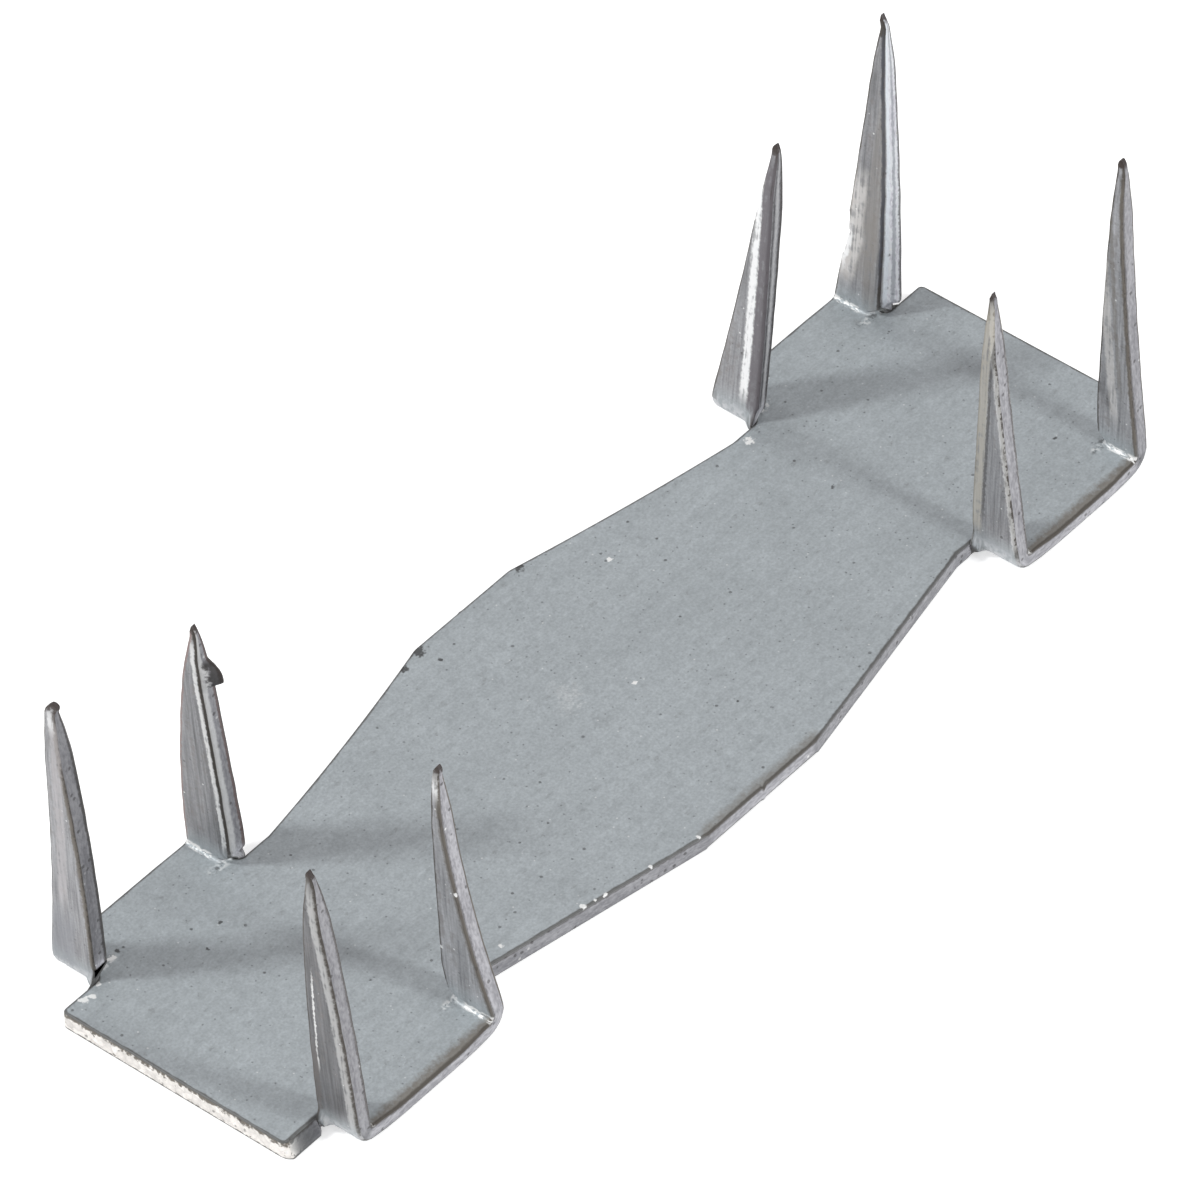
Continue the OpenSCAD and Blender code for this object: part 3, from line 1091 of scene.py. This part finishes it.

# %% [markdown]
# The walls of the teeth have lines too, set by how deep in the sheet they lie, from 0 at the top to 1,
# and how wide they are, as a share of its thickness. The GLINT and near-white lines are painted
# highlights. The curl near one point and all the points are sooty.

# %% Lines on the walls, and the points
# GLINT and near-white lines here are painted highlights on the walls.
WALL_LINES = [
    ("A", 0.1, 0.15, SOOT, 0.5),
    ("B", 0.2, 0.3, GLINT, 0.55), ("B", 0.95, 0.2, (0.14, 0.09, 0.08, 1), 0.8),
    ("E", 0.8, 0.12, SOOT, 0.6), ("E", 0.5, 0.18, GLINT, 0.35), ("E", 0.1, 0.2, SOOT, 0.7),
    ("F", 0.22, 0.16, (0.85, 0.9, 0.95, 1), 0.8), ("F", 0.6, 0.14, (0.26, 0.28, 0.32, 1), 0.6),
    ("F", 0.97, 0.14, SOOT, 0.7),
]
BURNT_TIP = (0.06, 0.045, 0.04, 1)
curled = teeth[NUBBED[0], NUBBED[1] < 0]

for letter, depth, width, paint, strength in WALL_LINES:
    away = abs(under - depth) + ragged * 0.2
    wall_line = away.step(width, width * 0.4) * on_wall * blade
    colour = (on_tooth(letter) * wall_line * strength).mix(colour, paint)
on_curl = on_tooth(curled.letter) * abs(up - curled.share(NUB_AT)).step(0.06, 0.045)
curl = on_curl * on_wall * (under + ragged).step(0.2, 0.5)
colour = painted(colour, [(curl * 0.85, SOOT), ((tip + ragged * 0.7).step(0.45, 0.7) * 0.9, BURNT_TIP)])
print("colour uses", len(zinc.node_tree.nodes), "nodes")

# %% [markdown]
# A few marks lie where handling left them: dark pits, and bright spots, many of them along the rolled
# edge, which are partly chips that show bright metal and partly painted highlights; and near the middle
# a soft crescent of a scuff and a faint smudge. Each is set by its place and its radius.

# %% Single marks
PITS = [(21.4, 1.1, 0.17), (32.6, -6.3, 0.16), (-32.7, 8.4, 0.17), (-27.4, 5.5, 0.14), (-29.4, 4.7, 0.12),
        (-3.7, 9.4, 0.15), (4.3, -5.7, 0.12), (-4.0, 10.8, 0.4), (-5.6, 10.6, 0.3), (4.9, 10.7, 0.3)]
CHIPS_AND_GLINTS = [(-34.1, 8.5, 0.3), (-33.3, 8.3, 0.22), (8.7, 7.2, 0.15), (1.8, -0.3, 0.14), (21.4, 7.2, 0.3),
         (-36.7, 7.4, 0.24), (-36.2, 7.2, 0.18), (-35.3, 7.55, 0.16), (-5.5, -10.8, 0.14),
         (-9.0, -10.2, 0.14), (-12.3, -9.7, 0.14), (-13.8, -9.3, 0.16), (-13.0, -9.5, 0.11),
         (-19.0, -7.7, 0.15)]


def spot(x, y, radius, soft=0.5):
    """A single mark on the top face, a little ragged."""
    inputs = {0: flat_place, 1: (x, y, SHEET_T)}
    away = wire.node("ShaderNodeVectorMath", {"operation": "DISTANCE"}, inputs, "Value")
    return (away + ragged * radius * 3).step(radius * 1.2, radius * 1.2 * (1 - soft))


crescent = spot(-1.8, 2.1, radius=1.2, soft=0.8) * (1 - spot(-2.5, 2.6, radius=1.2, soft=0.8))
smudge = spot(-1.6, -0.9, radius=0.8, soft=0.9)
colour = painted(colour, [(spot(*pit) * 0.8, SOOT) for pit in PITS])
# Some of these bright spots are chips of bare metal and some are painted highlights.
colour = painted(colour, [(spot(*chip), GLINT) for chip in CHIPS_AND_GLINTS])
colour = painted(colour, [(crescent * (grain * 0.45), GLINT), (smudge * 0.12, SOOT)])
print(len(PITS), "pits and", len(CHIPS_AND_GLINTS), "chips")

# %% [markdown]
# Zinc is a metal, but its weathered surface scatters light almost as a paint does. So the metallic
# share is low and the roughness high, and the grain lifts the surface by hundredths of a millimetre.

# %% Surface of the finish
roughness = 0.4 + 0.2 * grain + 0.1 * on_wall + 0.2 * tip
relief = (grain * 0.012 + mottle * 0.012 + streaks * 0.006 * (1 + 3 * blade)
          + on_wall * (0.04 * wall_tone + 0.1 * cropped * facets))
bump = wire.node("ShaderNodeBump", {}, {"Height": relief, "Distance": MM, "Strength": 0.8})
shader = wire.node("ShaderNodeBsdfPrincipled", {}, {
    "Base Color": colour, "Metallic": 0.3, "Roughness": roughness, "Normal": bump})
wire.node("ShaderNodeOutputMaterial", {}, {"Surface": shader})
print("finish of", len(zinc.node_tree.nodes), "nodes")

# %% [markdown]
# Now the tree runs once on the blank. The result is kept as a plain mesh, with sharp shading only
# where an edge is sharp, and it takes the place of the plainer CAD shape.

# %% Fold the blank
THINNING = 0.1
SHARP_ANGLE = 38
sizes = {"Sheet Thickness": SHEET_T * MM, "Fold Radius": FOLD_R * MM, "Neutral Layer": NEUTRAL,
         "Thinning": THINNING, "Finish": zinc}
folded = fold(sheet, tree, sizes)
folded.set_sharp_from_angle(angle=math.radians(SHARP_ANGLE))
plate = bpy.data.objects.new("nail_plate_sheet", folded)
bpy.context.scene.collection.objects.link(plate)
bpy.data.objects.remove(sheet)
print("folded plate of", len(folded.vertices), "points and", len(folded.polygons), "faces")
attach(plate, "root")
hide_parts("nail_plate")

# %% [markdown]
# ## The stage
# A plain pale floor with a glow added. The camera, a glossy surface and a transparent one all see the
# glow, so the floor is white to them wherever no shadow lies on it, but it lights nothing else.

# %% Floor
FLOOR_HALF = 0.6

floor_mesh = bpy.data.meshes.new("floor")
corners = [(-FLOOR_HALF, -FLOOR_HALF, 0), (FLOOR_HALF, -FLOOR_HALF, 0),
           (FLOOR_HALF, FLOOR_HALF, 0), (-FLOOR_HALF, FLOOR_HALF, 0)]
floor_mesh.from_pydata(corners, [], [(0, 1, 2, 3)])
floor = bpy.data.objects.new("floor", floor_mesh)
bpy.context.scene.collection.objects.link(floor)
floor_material = bpy.data.materials.new("floor_white")
floor_material.use_nodes = True
floor_material.node_tree.nodes.clear()
wire = Wire(floor_material.node_tree)
paint = wire.node("ShaderNodeBsdfDiffuse", {}, {"Color": (0.8, 0.8, 0.8, 1)})
glow = wire.node("ShaderNodeEmission", {}, {"Color": (1, 1, 1, 1), "Strength": 0.55})
ray = wire.node("ShaderNodeLightPath", {}, {}, "Is Camera Ray")
seen = ray + ray.other("Is Glossy Ray") + ray.other("Is Transmission Ray")
extra = wire.node("ShaderNodeMixShader", {}, {0: seen, 2: glow})
both = wire.node("ShaderNodeAddShader", {}, {0: paint, 1: extra})
wire.node("ShaderNodeOutputMaterial", {}, {"Surface": both})
floor_mesh.materials.append(floor_material)
print("floor", 2 * FLOOR_HALF, "m wide")

# %% [markdown]
# Two small lamps give the plate its two sets of soft shadows, and an even sky fills them in.

# %% Lights
LAMP_FAR = 0.6
LAMP_COLOUR = (0.97, 1.0, 1.0)
SKY_COLOUR = (1, 0.975, 0.985, 1)

world = bpy.data.worlds.new("studio")
bpy.context.scene.world = world
world.use_nodes = True
world.node_tree.nodes.clear()
wire = Wire(world.node_tree)
background = wire.node("ShaderNodeBackground", {}, {"Color": SKY_COLOUR, "Strength": 0.47})
wire.node("ShaderNodeOutputWorld", {}, {"Surface": background})


def softbox(name, across, height, size, power):
    """A square lamp that stands off in the direction across in plan, aimed at the plate."""
    lamp = bpy.data.lights.new(name, "AREA")
    lamp.size = size
    lamp.energy = power
    lamp.color = LAMP_COLOUR
    thing = bpy.data.objects.new(name, lamp)
    direction = Vector((*across, 0)).normalized() + Vector((0, 0, height))
    thing.location = direction.normalized() * LAMP_FAR
    thing.rotation_euler = direction.to_track_quat("Z", "Y").to_euler()
    bpy.context.scene.collection.objects.link(thing)


softbox("window", across=(-0.755, 0.656), height=0.9, size=0.08, power=1.75)
softbox("lamp", across=(0.1, -1), height=0.9, size=0.08, power=1.35)
print("lamps", len(bpy.data.lights))

# %% [markdown]
# A long lens stands well back, and looks down on the plate from beyond its near corner.

# %% Camera
AZIMUTH = -50.525
ELEVATION = 43.85
ROLL = -0.254
TARGET = (5.76, 5.486, SHEET_T)
FAR_BACK = 0.71776
LENS = 379.3


def looking(azimuth, elevation):
    """The direction that a camera looks in. Azimuth 0 looks along +Y."""
    turn, tilt = math.radians(azimuth), math.radians(elevation)
    return Vector((-math.sin(turn) * math.cos(tilt), math.cos(turn) * math.cos(tilt), -math.sin(tilt)))


view = looking(AZIMUTH, ELEVATION)
upright = (-view).to_track_quat("Z", "Y")
camera_data = bpy.data.cameras.new("camera")
camera_data.lens = LENS
camera_data.clip_start = 0.01
camera = bpy.data.objects.new("camera", camera_data)
camera.location = Vector(TARGET) * MM - view * FAR_BACK
camera.rotation_mode = "QUATERNION"
camera.rotation_quaternion = upright @ Quaternion((0, 0, 1), math.radians(ROLL))
bpy.context.scene.collection.objects.link(camera)
bpy.context.scene.camera = camera
bpy.context.scene.view_settings.view_transform = "Standard"
print("camera at", [round(v, 3) for v in camera.location], "m")

# %% [markdown]
# It has to stay inside.
